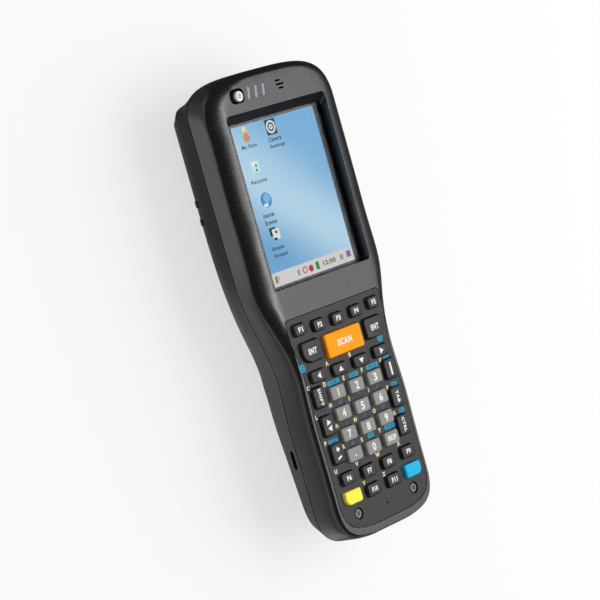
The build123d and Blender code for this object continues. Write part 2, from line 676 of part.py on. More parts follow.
def housing_seal():
    outer = outline_face(insets_at(PARTING_Z), SEAL_INSET)
    inner = outline_face(insets_at(PARTING_Z), SEAL_INSET + SEAL_WIDTH)
    return slab(outer - inner, REAR_TOP_Z, FRONT_BASE_Z)


# ---- Rear housing ----
def window_frame():
    """Plane on the slanted head end, centred on the scan window, Z pointing out."""
    lean = degrees(atan((BEVEL_INSET[2] - PARTING_INSET[2]) / (PARTING_Z - BEVEL_Z)))
    mid_z = (PARTING_Z + BEVEL_Z) / 2
    mid_y = HEAD_REACH - (BEVEL_INSET[2] + PARTING_INSET[2]) / 2
    return Pos(0, mid_y, mid_z) * Rot(-90 - lean, 0, 0)


def window_slab(width, length, top, bottom):
    """Box on the slanted head end, from bottom to top below the surface."""
    return window_frame() * block(-width / 2, width / 2, -length / 2, length / 2, bottom, top)


def strap_face_x():
    """Outer half-width of the rear bevel at the strap slot."""
    t = (PARTING_Z - STRAP_Z) / (PARTING_Z - BEVEL_Z)
    return half_width(STRAP_Y) - BEVEL_INSET[1] * t


def strap_block(grow):
    """Slot volume beside the left bevel, grown by grow on every side but the outer."""
    length, height, depth = STRAP_SLOT
    shape = RectangleRounded(length + 2 * grow, height + 2 * grow, STRAP_SLOT_ROUND)
    reach = TALL + depth + grow
    middle = -strap_face_x() - TALL + reach / 2
    return Pos(middle, STRAP_Y, STRAP_Z) * extrude(Plane.YZ * shape, reach / 2, both=True)


def strap_bar_rod():
    height = STRAP_SLOT[1]
    x = -strap_face_x() + STRAP_BAR_IN
    return rod(STRAP_BAR, x, STRAP_Y, STRAP_Z - height / 2 - 1.0, STRAP_Z + height / 2 + 1.0)


def bevel_ribs():
    """Two short ribs on each side of the head, leaning with the lower rear bevel."""
    across = BACK_ROUND_INSET[0] - BEVEL_INSET[0]
    rise = BEVEL_Z - BACK_ROUND_Z
    lean = degrees(atan(across / rise))
    inset = BEVEL_INSET[0] + across * (BEVEL_Z - RIB_Z) / rise
    ribs = []
    for side in (-1, 1):
        x = side * (HEAD_WIDTH / 2 - inset)
        for y in RIB_Y:
            bar = Pos(side * (RIB_PROUD - RIB_SIZE[0] / 2), 0, 0) * Box(*RIB_SIZE)
            ribs.append(Pos(x, y, RIB_Z) * Rot(0, side * lean, 0) * bar)
    return ribs


def contact_blocks(grow=0.0):
    width, length = CONTACT_SIZE
    reach = (CONTACT_COUNT - 1) / 2
    return [block(CONTACT_PITCH * (i - reach) - width / 2 - grow,
                  CONTACT_PITCH * (i - reach) + width / 2 + grow,
                  CONTACT_Y - length / 2 - grow, CONTACT_Y + length / 2 + grow,
                  0, back_z(CONTACT_Y) + WALL + 1.0) for i in range(CONTACT_COUNT)]


def bay_walls():
    """Walls and ceiling of the battery bay, with the two battery stops."""
    half = BAY_HALF_WIDTH
    walls = block(-half - BAY_WALL, half + BAY_WALL, BAY_TAIL_Y - BAY_WALL,
                  BAY_HEAD_Y + BAY_WALL, 0, BAY_TOP_Z)
    walls -= block(-half, half, BAY_TAIL_Y, BAY_HEAD_Y, 0, BAY_CEILING_Z)
    stop_z = HINGE_Z + HINGE_RADIUS + INNER_GAP
    head = BATTERY_HEAD_Y + INNER_GAP
    tail = BATTERY_TAIL_Y - INNER_GAP
    walls += block(-half, half, head, head + STOP_THICK, stop_z, BAY_CEILING_Z)
    walls += block(-half, half, tail - STOP_THICK, tail, rail_top() + INNER_GAP, BAY_CEILING_Z)
    return walls


def rear_blocks():
    """Bay walls, bosses and thickened places, before they are trimmed to the shell."""
    blocks = [bay_walls(), strap_block(STRAP_BLOCK),
              window_slab(SCAN_WINDOW_SIZE[0] + SCAN_WINDOW_LAND[0],
                          SCAN_WINDOW_SIZE[1] + SCAN_WINDOW_LAND[1], 0, -2 * WALL)]
    return blocks + [rod(HOUSING_BOSS, x, y, 0, REAR_TOP_Z)
                     for x, y, _ in housing_screw_spots()]


def rear_holes():
    """Everything that is cut through the rear housing."""
    half = BAY_HALF_WIDTH
    socket = Rot(0, 90, 0) * Cylinder(PIN_RADIUS + PIN_FIT, 4 * BAY_WALL)
    tongue = LATCH_TONGUE[0] / 2 + INNER_GAP
    holes = [block(-half, half, BAY_TAIL_Y, BAY_HEAD_Y, 0, WALL),
             block(-tongue, tongue, BAY_TAIL_Y - 2 * BAY_WALL, BAY_TAIL_Y,
                   COVER_IN_Z, COVER_IN_Z + LATCH_PLATE[2] + 3 * INNER_GAP)]
    holes += [Pos(x, HINGE_Y, HINGE_Z) * socket for x in mirror_pair(half + BAY_WALL)]
    width, length = CONTACT_BLOCK
    holes.append(block(-width / 2 - INNER_GAP, width / 2 + INNER_GAP,
                       CONTACT_BLOCK_Y - length / 2 - INNER_GAP,
                       CONTACT_BLOCK_Y + length / 2 + INNER_GAP, BAY_CEILING_Z, BAY_TOP_Z))
    for x, y, seat in housing_screw_spots():
        holes.append(rod(HOUSING_SCREW_BORE, x, y, 0, seat))
        holes.append(rod(SCREW_SHANK + 2 * SCREW_CLEARANCE, x, y, seat, REAR_TOP_Z))
    holes += [strap_block(0.0), strap_bar_rod()] + contact_blocks()
    width, length, thick = SCAN_WINDOW_SIZE
    depth = thick + SCAN_WINDOW_RECESS
    holes.append(window_slab(width + 2 * GLASS_GAP, length + 2 * GLASS_GAP, WALL, -depth))
    holes.append(window_slab(width - 2 * SCAN_WINDOW_LAP, length - 2 * SCAN_WINDOW_LAP,
                             -depth, -4 * WALL))
    return holes


def rear_housing():
    outer = stack(0, REAR_TOP_Z) & back_profile()
    room = stack(WALL, REAR_TOP_Z, WALL) & back_profile(WALL)
    inner = [piece & outer for piece in rear_blocks()]
    return (outer - room) + inner + bevel_ribs() - rear_holes()


def scan_window():
    width, length, thick = SCAN_WINDOW_SIZE
    depth = thick + SCAN_WINDOW_RECESS
    return window_slab(width, length, -SCAN_WINDOW_RECESS, -depth)


def scan_engine():
    body = block(-ENGINE_WIDTH / 2, ENGINE_WIDTH / 2, ENGINE_TAIL_Y,
                 HEAD_REACH - ENGINE_END, ENGINE_Z, ENGINE_Z + ENGINE_HEIGHT)
    return chamfer(body.edges().filter_by(Axis.Y), 1.0)


def housing_screws():
    head, rise = HOUSING_SCREW_HEAD
    return [rod(head, x, y, seat - rise, seat)
            + rod(SCREW_SHANK, x, y, seat, FRONT_BASE_Z + SCREW_BITE)
            for x, y, seat in housing_screw_spots()]


def lanyard_bar():
    return strap_bar_rod()


def dock_contacts():
    return [pad & back_profile(CONTACT_SINK) for pad in contact_blocks(-PIN_FIT)]


# ---- Battery, cover and latch ----
def battery_pack():
    body = block(-BAY_HALF_WIDTH + BATTERY_GAP, BAY_HALF_WIDTH - BATTERY_GAP,
                 BATTERY_TAIL_Y, BATTERY_HEAD_Y, BATTERY_Z, BATTERY_Z + BATTERY_HEIGHT)
    return fillet(body.edges().filter_by(Axis.Y), BATTERY_CORNER)


def rail_top():
    """Top of the rails that hold the latch on the cover."""
    return COVER_IN_Z + LATCH_PLATE[2] + 2 * INNER_GAP + RAIL_LIP_THICK


def latch_y():
    """Tongue tip, tongue root and plate end of the latch while it is open."""
    tip = COVER_TAIL_Y + LATCH_EDGE
    root = tip + LATCH_TONGUE[1]
    return tip, root, root + LATCH_PLATE[1]


def thumb_y():
    return latch_y()[2] - LATCH_THUMB[1] / 2 - INNER_GAP


def battery_cover():
    plate = block(-COVER_HALF, COVER_HALF, COVER_TAIL_Y, HINGE_Y, COVER_LIFT, COVER_IN_Z)
    barrel = Pos(0, HINGE_Y, HINGE_Z) * Rot(0, 90, 0) * Cylinder(HINGE_RADIUS, 2 * COVER_HALF)
    pins = Pos(0, HINGE_Y, HINGE_Z) * Rot(0, 90, 0) * Cylinder(
        PIN_RADIUS, 2 * (COVER_HALF + PIN_LENGTH))
    cover = plate + barrel + pins
    _, root, end = latch_y()
    inner = LATCH_PLATE[0] / 2 + INNER_GAP
    lip_z = rail_top() - RAIL_LIP_THICK
    for side in (-1, 1):
        wall = sorted((side * inner, side * (inner + RAIL_THICK)))
        lip = sorted((side * (inner - RAIL_LIP), side * (inner + RAIL_THICK)))
        cover += block(*wall, root, end, COVER_IN_Z, rail_top())
        cover += block(*lip, root, end, lip_z, rail_top())
    width, length = LATCH_THUMB
    cover -= block(-width / 2 - INNER_GAP, width / 2 + INNER_GAP,
                   thumb_y() - length / 2 - LATCH_TRAVEL - INNER_GAP,
                   thumb_y() + length / 2 + INNER_GAP, 0, COVER_IN_Z)
    return cover


def battery_latch():
    tip, root, end = latch_y()
    low = COVER_IN_Z + INNER_GAP
    high = low + LATCH_PLATE[2]
    half = LATCH_PLATE[0] / 2
    latch = block(-half, half, root, end, low, high)
    latch += block(-LATCH_TONGUE[0] / 2, LATCH_TONGUE[0] / 2, tip, root, low, high)
    width, length = LATCH_THUMB
    latch += block(-width / 2, width / 2, thumb_y() - length / 2, thumb_y() + length / 2,
                   COVER_LIFT + GLASS_GAP, low)
    return latch


# ---- Main board ----
def main_board():
    """Board in the head with its shield can, button switch and battery contacts."""
    low = MAIN_BOARD_Z - MAIN_BOARD_THICK
    outline = outline_face(insets_at(MAIN_BOARD_Z), WALL + INNER_GAP + 0.1)
    plate = slab(outline, low, MAIN_BOARD_Z)
    plate &= block(-TALL, TALL, MAIN_BOARD_TAIL_Y, TALL, 0, TALL)
    for x, y, _ in housing_screw_spots():
        plate -= rod(FRONT_BOSS + 2 * INNER_GAP, x, y, low, MAIN_BOARD_Z)
    width, length, height = CAN_SIZE
    plate += block(-width / 2, width / 2, CAN_Y - length / 2, CAN_Y + length / 2,
                   low - height, low)
    plate += rod(BUTTON_FLANGE_DIAMETER, BUTTON_X, BUTTON_Y,
                 MAIN_BOARD_Z, MAIN_BOARD_Z + INNER_GAP)
    width, length = CONTACT_BLOCK
    plate += block(-width / 2, width / 2, CONTACT_BLOCK_Y - length / 2,
                   CONTACT_BLOCK_Y + length / 2, BAY_CEILING_Z - INNER_GAP / 2, low)
    return plate


# ---- Assembly ----
def solids_of(item):
    return [solid for piece in (item if isinstance(item, list) else [item])
            for solid in piece.solids()]


def build_parts():
    keys = key_layout()
    parts = {key[0]: key_solid(key) for key in keys}
    parts.update(
        keypad_panel=keypad_panel(keys), keypad_mat=keypad_mat(keys),
        keypad_board=keypad_board(), panel_screws=panel_screws(),
        front_housing=front_housing(), rear_housing=rear_housing(),
        housing_seal=housing_seal(), housing_screws=housing_screws(),
        display_glass=display_glass(), display_gasket=display_gasket(),
        lcd_module=lcd_module(), main_board=main_board(),
        power_button=power_button(), status_lenses=light_bars(),
        earpiece_speaker=earpiece_speaker(), scan_engine=scan_engine(),
        scan_window=scan_window(), battery_pack=battery_pack(),
        battery_cover=battery_cover(), battery_latch=battery_latch(),
        lanyard_bar=lanyard_bar(), dock_contacts=dock_contacts())
    return parts


os.makedirs("parts", exist_ok=True)
for name, item in build_parts().items():
    solids = [place(solid) for solid in solids_of(item)]
    shape = solids[0] if len(solids) == 1 else Compound(children=solids)
    export_step(shape, f"parts/{name}.step")
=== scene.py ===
import json
from math import cos, pi, radians, sin

import bmesh
import bpy
import numpy as np
from mathutils import Matrix, Vector


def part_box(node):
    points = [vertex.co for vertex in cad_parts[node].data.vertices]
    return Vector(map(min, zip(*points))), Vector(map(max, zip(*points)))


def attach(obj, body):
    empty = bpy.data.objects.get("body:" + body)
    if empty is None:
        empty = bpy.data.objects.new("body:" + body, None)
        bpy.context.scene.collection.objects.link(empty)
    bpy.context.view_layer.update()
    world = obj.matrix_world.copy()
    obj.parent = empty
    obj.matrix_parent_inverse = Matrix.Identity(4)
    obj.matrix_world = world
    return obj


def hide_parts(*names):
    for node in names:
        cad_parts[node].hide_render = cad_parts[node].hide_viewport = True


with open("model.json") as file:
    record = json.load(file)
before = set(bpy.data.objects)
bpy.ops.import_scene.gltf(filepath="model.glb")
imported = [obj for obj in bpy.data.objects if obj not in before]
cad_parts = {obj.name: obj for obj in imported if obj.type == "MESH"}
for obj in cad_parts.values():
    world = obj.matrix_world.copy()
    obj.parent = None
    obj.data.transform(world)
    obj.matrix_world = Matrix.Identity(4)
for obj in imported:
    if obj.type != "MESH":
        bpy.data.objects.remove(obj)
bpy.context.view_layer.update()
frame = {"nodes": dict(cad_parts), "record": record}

# Lengths below are millimetres unless a name says otherwise; the scene is in metres.
# Plan positions are measured from the display centre, as the part's own are.
MM = 0.001
DISPLAY_Y = 43.2           # display centre above the part's origin
FACE_Z = 34.5              # face of the front shell and of the keypad plate
KEY_TOP_Z = 36.0
LEDGE_Z = 30.3             # ledge that the cover glass lies on
SCREEN_WIDTH = 48.8
SCREEN_LENGTH = 65.0
GLASS_WIDTH = 57.6
GLASS_LENGTH = 67.0
GLASS_RADIUS = 2.0
TASKBAR = 5.6              # height of the bar along the bottom of the picture
PILL_X, PILL_Y = -20.0, 44.0    # recess of the power key
PILL_SIZE = (8.0, 6.0)
PILL_ROUND = 2.2
PILL_DEPTH = 1.2
BUTTON_X, BUTTON_Y = -18.4, 43.8
BUTTON_HOLE = 4.9          # diameter of the hole that the power key passes
BUTTON_TOP_Z = 34.4
KEY_SINK = 0.04            # key face below the tops of its printed legends
PRINT_THICK = 0.04
PRINT_LIFT = 0.03          # face of a print above the face that it lies on
BOLD = 0.045               # thickening of printed capitals, in letter heights
THIN_BOLD = 0.03           # the same for digits and for the captions on the display


# ---- Materials ----
def linear(code):
    """Opaque linear colour from a hex sRGB code."""
    values = [int(code[i:i + 2], 16) / 255 for i in (1, 3, 5)]
    return [v / 12.92 if v <= 0.04045 else ((v + 0.055) / 1.055) ** 2.4
            for v in values] + [1.0]


def add_node(tree, kind, links=(), **values):
    """Adds a node, sets its properties or inputs, and links (output, input) pairs."""
    node = tree.nodes.new(kind)
    for key, value in values.items():
        if hasattr(node, key):
            setattr(node, key, value)
        else:
            node.inputs[key.replace("_", " ")].default_value = value
    for source, target in links:
        tree.links.new(source, node.inputs[target])
    return node


def new_material(name):
    """Material with one principled shader on its surface, with its tree and that shader."""
    material = bpy.data.materials.new(name)
    material.use_nodes = True
    tree = material.node_tree
    tree.nodes.clear()
    shader = add_node(tree, "ShaderNodeBsdfPrincipled")
    add_node(tree, "ShaderNodeOutputMaterial", [(shader.outputs[0], "Surface")])
    return material, tree, shader


def noise(tree, size_mm, detail=3.0):
    """Noise over the object's own coordinates, with features of about size_mm."""
    place = add_node(tree, "ShaderNodeTexCoord").outputs["Object"]
    return add_node(tree, "ShaderNodeTexNoise", [(place, "Vector")],
                    Scale=1 / (size_mm * MM), Detail=detail, Roughness=0.6)


def two_tone(tree, factor, low, high):
    """Colour that runs from low to high with the factor."""
    mix = add_node(tree, "ShaderNodeMix", [(factor, 0)], data_type="RGBA")
    mix.inputs[6].default_value = low
    mix.inputs[7].default_value = high
    return mix.outputs[2]


GRAIN_DEPTH = 0.03         # depth of the grain in a mould's wall
TONE_SIZE = 14             # size of the broad changes in a moulding's tone
PANE_IOR = 1.12            # low, for what its coating leaves of the glare of the glass
UNLIT = (0.004, 0.004, 0.005, 1)    # colour of the display when it is off


def moulded(name, code, rough, grain_mm=0.35, grain=0.25, shade=0.12, specular=0.5):
    """Moulded plastic: spark-eroded grain in the normal, faint tone and gloss variation."""
    material, tree, shader = new_material(name)
    shader.inputs["Specular IOR Level"].default_value = specular
    fine = noise(tree, grain_mm)
    broad = noise(tree, TONE_SIZE, detail=2.0)
    base = linear(code)
    dark = [c * (1 - shade) for c in base[:3]] + [1]
    light = [min(c * (1 + shade), 1) for c in base[:3]] + [1]
    tone = two_tone(tree, broad.outputs["Fac"], dark, light)
    tree.links.new(tone, shader.inputs["Base Color"])
    gloss = add_node(tree, "ShaderNodeMapRange", [(fine.outputs["Fac"], "Value")],
                     To_Min=max(rough - 0.05, 0.05), To_Max=rough + 0.07)
    tree.links.new(gloss.outputs[0], shader.inputs["Roughness"])
    bump = add_node(tree, "ShaderNodeBump", [(fine.outputs["Fac"], "Height")],
                    Strength=grain, Distance=GRAIN_DEPTH * MM)
    tree.links.new(bump.outputs[0], shader.inputs["Normal"])
    return material


def ink(name, code, rough=0.5):
    """Printed ink: screen-print mottle in its tone and a slightly broken gloss."""
    return moulded(name, code, rough, grain_mm=0.2, grain=0.12, shade=0.06)


def metal(name, code, rough):
    """Turned metal: fine grain in gloss and tone."""
    material, tree, shader = new_material(name)
    shader.inputs["Metallic"].default_value = 1.0
    fine = noise(tree, 0.25)
    base = linear(code)
    dark = [c * 0.75 for c in base[:3]] + [1]
    tone = two_tone(tree, fine.outputs["Fac"], dark, base)
    tree.links.new(tone, shader.inputs["Base Color"])
    gloss = add_node(tree, "ShaderNodeMapRange", [(fine.outputs["Fac"], "Value")],
                     To_Min=rough - 0.06, To_Max=rough + 0.1)
    tree.links.new(gloss.outputs[0], shader.inputs["Roughness"])
    return material


def clear_glass(name, code):
    """Cover glass: clear, with the faint smears of handling in its gloss."""
    material, tree, shader = new_material(name)
    shader.inputs["Base Color"].default_value = linear(code)
    shader.inputs["Transmission Weight"].default_value = 1.0
    shader.inputs["IOR"].default_value = PANE_IOR
    smear = noise(tree, 9, detail=4.0)
    gloss = add_node(tree, "ShaderNodeMapRange", [(smear.outputs["Fac"], "Value")],
                     To_Min=0.0, To_Max=0.02)
    tree.links.new(gloss.outputs[0], shader.inputs["Roughness"])
    return material


def glowing(name, strength):
    """Black material that glows, as its material, its tree and its shader."""
    material, tree, shader = new_material(name)
    shader.inputs["Base Color"].default_value = UNLIT
    shader.inputs["Roughness"].default_value = 0.4
    shader.inputs["Specular IOR Level"].default_value = 0.0
    shader.inputs["Emission Strength"].default_value = strength
    return material, tree, shader


SWEEP_ACROSS = 0.45        # how far the picture's sweep of blues runs over its width
SWEEP_ALONG = 0.75         # and over its length
CLOUD = 0.12               # share of cloud in the sweep


def lit_picture(name, stops, strength):
    """Lit display: a soft diagonal sweep of blues."""
    material, tree, shader = glowing(name, strength)
    place = add_node(tree, "ShaderNodeTexCoord").outputs["Object"]
    apart = add_node(tree, "ShaderNodeSeparateXYZ", [(place, 0)])
    across = add_node(tree, "ShaderNodeMath", [(apart.outputs[0], 0)], operation="MULTIPLY")
    across.inputs[1].default_value = SWEEP_ACROSS / (SCREEN_WIDTH * MM)
    along = add_node(tree, "ShaderNodeMath", [(apart.outputs[1], 0), (across.outputs[0], 2)],
                     operation="MULTIPLY_ADD")
    along.inputs[1].default_value = SWEEP_ALONG / (SCREEN_LENGTH * MM)
    sweep = add_node(tree, "ShaderNodeMath", [(along.outputs[0], 0)], operation="SUBTRACT")
    sweep.inputs[1].default_value = SWEEP_ALONG * DISPLAY_Y / SCREEN_LENGTH - 0.5
    cloud = noise(tree, 30, detail=1.0).outputs["Fac"]
    drift = add_node(tree, "ShaderNodeMath", [(cloud, 0), (sweep.outputs[0], 2)],
                     operation="MULTIPLY_ADD")
    drift.inputs[1].default_value = CLOUD
    ramp = add_node(tree, "ShaderNodeValToRGB", [(drift.outputs[0], 0)])
    ramp.color_ramp.interpolation = "EASE"
    elements = ramp.color_ramp.elements
    for index, (position, code) in enumerate(stops):    # a new ramp has two stops
        element = elements[index] if index < 2 else elements.new(position)
        element.position = position
        element.color = linear(code)
    tree.links.new(ramp.outputs[0], shader.inputs["Emission Color"])
    return material


def lit_marks(name, strength):
    """Lit marks on the display, coloured by the piece's own tint attribute."""
    material, tree, shader = glowing(name, strength)
    tint = add_node(tree, "ShaderNodeVertexColor", layer_name="tint")
    grain = noise(tree, 0.9)
    deep = add_node(tree, "ShaderNodeMix", [(grain.outputs["Fac"], 0), (tint.outputs[0], 7)],
                    data_type="RGBA")
    darker = add_node(tree, "ShaderNodeMix", [(tint.outputs[0], 6)], data_type="RGBA",
                      blend_type="MULTIPLY")
    darker.inputs[0].default_value = 1.0
    darker.inputs[7].default_value = (0.8, 0.8, 0.8, 1)
    tree.links.new(darker.outputs[2], deep.inputs[6])
    tree.links.new(deep.outputs[2], shader.inputs["Emission Color"])
    return material


# ---- Camera ----
CAMERA_TURNS = ((15.715, "Z"), (4.492, "X"), (45.587, "Y"))    # degrees, in this order
DISPLAY_SEEN_AT = (1.404, 42.627, -971.27)    # from the camera: right, up, towards its back
LENS = 146.26
SENSOR_WIDTH = 36.0


def set_camera():
    """Camera at the front left of the device, which it sees standing on its tail."""
    turn = Matrix.Identity(3)
    for degrees, axis in CAMERA_TURNS:
        turn = turn @ Matrix.Rotation(radians(degrees), 3, axis)
    turn_back = turn.transposed()
    place = -(turn_back @ Vector(DISPLAY_SEEN_AT)) + Vector((0, DISPLAY_Y, KEY_TOP_Z))
    data = bpy.data.cameras.new("camera")
    data.sensor_width = SENSOR_WIDTH
    data.lens = LENS
    camera = bpy.data.objects.new("camera", data)
    camera.matrix_world = Matrix.Translation(place * MM) @ turn_back.to_4x4()
    bpy.context.collection.objects.link(camera)
    bpy.context.scene.camera = camera


# ---- Light and floor ----
def area_lamp(name, place, target, size, power):
    """Rectangular lamp at a place, aimed at its target; in metres and watts."""
    data = bpy.data.lights.new(name, "AREA")
    data.shape = "RECTANGLE"
    data.size, data.size_y = size
    data.energy = power
    lamp = bpy.data.objects.new(name, data)
    lamp.location = place
    aim = Vector(target) - Vector(place)
    lamp.rotation_euler = aim.to_track_quat("-Z", "Y").to_euler()
    bpy.context.collection.objects.link(lamp)
    return lamp


def seen_rays(tree, *kinds):
    """One for any of the ray kinds, such as Is Camera Ray, and zero for the rest."""
    path = add_node(tree, "ShaderNodeLightPath")
    value = path.outputs[kinds[0]]
    for kind in kinds[1:]:
        value = add_node(tree, "ShaderNodeMath", [(value, 0), (path.outputs[kind], 1)],
                         operation="MAXIMUM").outputs[0]
    return value


def number_mix(tree, factor, low, high):
    """Value that runs from low to high with the factor; either may be a socket."""
    mix = add_node(tree, "ShaderNodeMix", [(factor, 0)])
    for index, value in ((2, low), (3, high)):
        if isinstance(value, (int, float)):
            mix.inputs[index].default_value = value
        else:
            tree.links.new(value, mix.inputs[index])
    return mix.outputs[0]


def soft_range(tree, value, start, end):
    """Value eased from zero at start to one at end."""
    return add_node(tree, "ShaderNodeMapRange", [(value, "Value")], From_Min=start,
                    From_Max=end, interpolation_type="SMOOTHSTEP").outputs[0]


def maths(tree, operation, first, second):
    """Result of an operation on two values, each a number or a socket."""
    node = add_node(tree, "ShaderNodeMath", operation=operation)
    for index, value in enumerate((first, second)):
        if isinstance(value, (int, float)):
            node.inputs[index].default_value = value
        else:
            tree.links.new(value, node.inputs[index])
    return node.outputs[0]


def distance(tree, value, centre):
    """How far a value is from a centre, either way."""
    return maths(tree, "ABSOLUTE", maths(tree, "SUBTRACT", value, centre), 0.0)


FILL = 0.45                    # plain light from all round
BOX_WAY = (0.78, 0.07, 0.62)   # way to the round soft box that the shells mirror
BOX_EDGE, BOX_CORE = 24, 5     # degrees from its middle where it starts and is full
BOX_LIGHT = 1.42
STRIP_ACROSS, STRIP_ALONG = 0.5, -0.08    # middle of the strip light overhead
STRIP_WIDE = (0.16, 0.06)      # each side of it, from where it starts to where it is full
STRIP_LONG = (0.34, 0.1)
STRIP_LIGHT = 6.0
SWEEP_HIGH = (0.48, 0.0)       # height and side of the pale sweep, none and full
SWEEP_ASIDE = (0.1, -0.5)
DARK_STUDIO = 0.025


def set_world():
    """White backdrop and plain fill. Mirrored rays see a dark studio with a round soft box at
    the right, a short strip light overhead and a pale sweep low on the left.
    """
    world = bpy.data.worlds.new("studio")
    world.use_nodes = True
    bpy.context.scene.world = world
    tree = world.node_tree
    background = tree.nodes["Background"]
    background.inputs["Color"].default_value = (1, 1, 1, 1)
    way = add_node(tree, "ShaderNodeTexCoord").outputs["Generated"]
    apart = add_node(tree, "ShaderNodeSeparateXYZ", [(way, 0)])
    across, along, up = apart.outputs
    near = add_node(tree, "ShaderNodeVectorMath", [(way, 0)], operation="DOT_PRODUCT")
    near.inputs[1].default_value = Vector(BOX_WAY).normalized()
    patch = maths(tree, "MULTIPLY", BOX_LIGHT,
                  soft_range(tree, near.outputs["Value"],
                             cos(radians(BOX_EDGE)), cos(radians(BOX_CORE))))
    aside = distance(tree, across, STRIP_ACROSS)
    beyond = distance(tree, along, STRIP_ALONG)
    strip = maths(tree, "MULTIPLY", soft_range(tree, aside, *STRIP_WIDE),
                  maths(tree, "MULTIPLY", soft_range(tree, beyond, *STRIP_LONG), STRIP_LIGHT))
    sweep = maths(tree, "MULTIPLY", soft_range(tree, up, *SWEEP_HIGH),
                  soft_range(tree, across, *SWEEP_ASIDE))
    glow = maths(tree, "MAXIMUM", maths(tree, "MAXIMUM", patch, strip),
                 maths(tree, "MAXIMUM", sweep, DARK_STUDIO))
    mirrored = seen_rays(tree, "Is Glossy Ray", "Is Transmission Ray")
    rest = number_mix(tree, mirrored, FILL, glow)
    camera = seen_rays(tree, "Is Camera Ray")
    tree.links.new(number_mix(tree, camera, rest, 1.0), background.inputs["Strength"])


# Lightness of the floor as the shells mirror it, with painted shade where it is darker, and
# the metres over which it changes.
ASIDE_FROM = (-0.04, -0.06)    # from under the device to beside it, on the left
HEAD_FROM = (-0.02, 0.03)      # from the tail to the head
UNDER_TAIL, BESIDE_TAIL = 1.0, 0.35
UNDER_HEAD, BESIDE_HEAD = 0.42, 1.0
# axis, metres where each painted shade is full and gone, and its share of light: at the right
# of the device's middle line, and beyond its head
PAINTED_FLOOR_SHADES = ((0, 0.0, -0.025, 0.22), (1, 0.115, 0.088, 0.3))
CAMERA_WHITE = 0.66            # share of plain white in the floor that the camera sees
FLOOR_SIZE = 6


def make_floor():
    """Pale floor, near white to the camera but for the shadow on it. Mirrored rays see it
    white beside the head and under the tail, and see painted shade on it, darker beside the
    tail, under the head, right of the device and beyond the head.
    """
    bpy.ops.mesh.primitive_plane_add(size=FLOOR_SIZE)
    floor = bpy.context.object
    floor.name = "floor"
    material, tree, shader = new_material("pale_floor")
    shader.inputs["Base Color"].default_value = (0.86, 0.86, 0.86, 1)
    shader.inputs["Roughness"].default_value = 0.9
    place = add_node(tree, "ShaderNodeTexCoord").outputs["Object"]
    apart = add_node(tree, "ShaderNodeSeparateXYZ", [(place, 0)])
    # painted shade: mirrors see the floor darker under the head, beside the tail, right of the
    # device and beyond its head
    aside = soft_range(tree, apart.outputs[0], *ASIDE_FROM)
    pale = number_mix(tree, soft_range(tree, apart.outputs[1], *HEAD_FROM),
                      number_mix(tree, aside, UNDER_TAIL, BESIDE_TAIL),
                      number_mix(tree, aside, UNDER_HEAD, BESIDE_HEAD))
    for axis, full, gone, share in PAINTED_FLOOR_SHADES:
        shade = number_mix(tree, soft_range(tree, apart.outputs[axis], full, gone), share, 1.0)
        pale = maths(tree, "MULTIPLY", pale, shade)
    path = add_node(tree, "ShaderNodeLightPath")
    glossy = path.outputs["Is Glossy Ray"]
    white = add_node(tree, "ShaderNodeEmission",
                     [(number_mix(tree, glossy, 1.0, pale), "Strength")])
    seen = maths(tree, "MULTIPLY", path.outputs["Is Camera Ray"], CAMERA_WHITE)
    lift = maths(tree, "MAXIMUM", seen, glossy)
    mix = add_node(tree, "ShaderNodeMixShader",
                   [(lift, 0), (shader.outputs[0], 1), (white.outputs[0], 2)])
    out = next(node for node in tree.nodes if node.type == "OUTPUT_MATERIAL")
    tree.links.new(mix.outputs[0], out.inputs["Surface"])
    floor.data.materials.append(material)


def set_lights():
    """One large soft lamp at the right for shape and shadow; mirrors see the studio."""
    lamp = area_lamp("right_lamp", place=(1.2, -0.2, 1.4), target=(0, 0.02, 0.03),
                     size=(1.8, 2.2), power=38)
    lamp.visible_glossy = False


# ---- Meshes ----
def add_piece(name, body, material, vertices, faces):
    """New mesh piece, given in millimetres from the display centre."""
    mesh = bpy.data.meshes.new(name)
    points = (np.asarray(vertices, float) + (0, DISPLAY_Y, 0)) * MM
    mesh.from_pydata(points.tolist(), [], [list(face) for face in faces])
    mesh.materials.append(material)
    piece = bpy.data.objects.new(name, mesh)
    bpy.context.collection.objects.link(piece)
    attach(piece, body)
    return piece


def rounded_rectangle(width, length, radius, steps=8):
    """Loop round a rectangle with quarter-circle corners, counter-clockwise."""
    angle = np.linspace(0, pi / 2, steps)
    corners = []
    for turn, (sx, sy) in enumerate(((1, 1), (-1, 1), (-1, -1), (1, -1))):
        a = angle + turn * pi / 2
        corners.append(np.stack([sx * (width / 2 - radius) + radius * np.cos(a),
                                 sy * (length / 2 - radius) + radius * np.sin(a)], -1))
    return np.concatenate(corners)


def ring_profile(rings):
    """Surface through loops of equal length, each an (n, 2) outline with its height."""
    count = len(rings[0][0])
    points = np.concatenate([np.column_stack([loop, np.full(count, z)]) for loop, z in rings])
    row, column = np.meshgrid(np.arange(len(rings) - 1), np.arange(count), indexing="ij")
    after = (column + 1) % count
    quads = np.stack([row * count + column, row * count + after,
                      (row + 1) * count + after, (row + 1) * count + column], -1)
    return points, quads.reshape(-1, 4)


SHELL_KEEP = 33            # degrees from which an edge of the front shell stays sharp
BACK_KEEP = 24             # and an edge of the back
KEY_KEEP = 58              # and an edge of a key
MERGE_WITHIN = 0.002


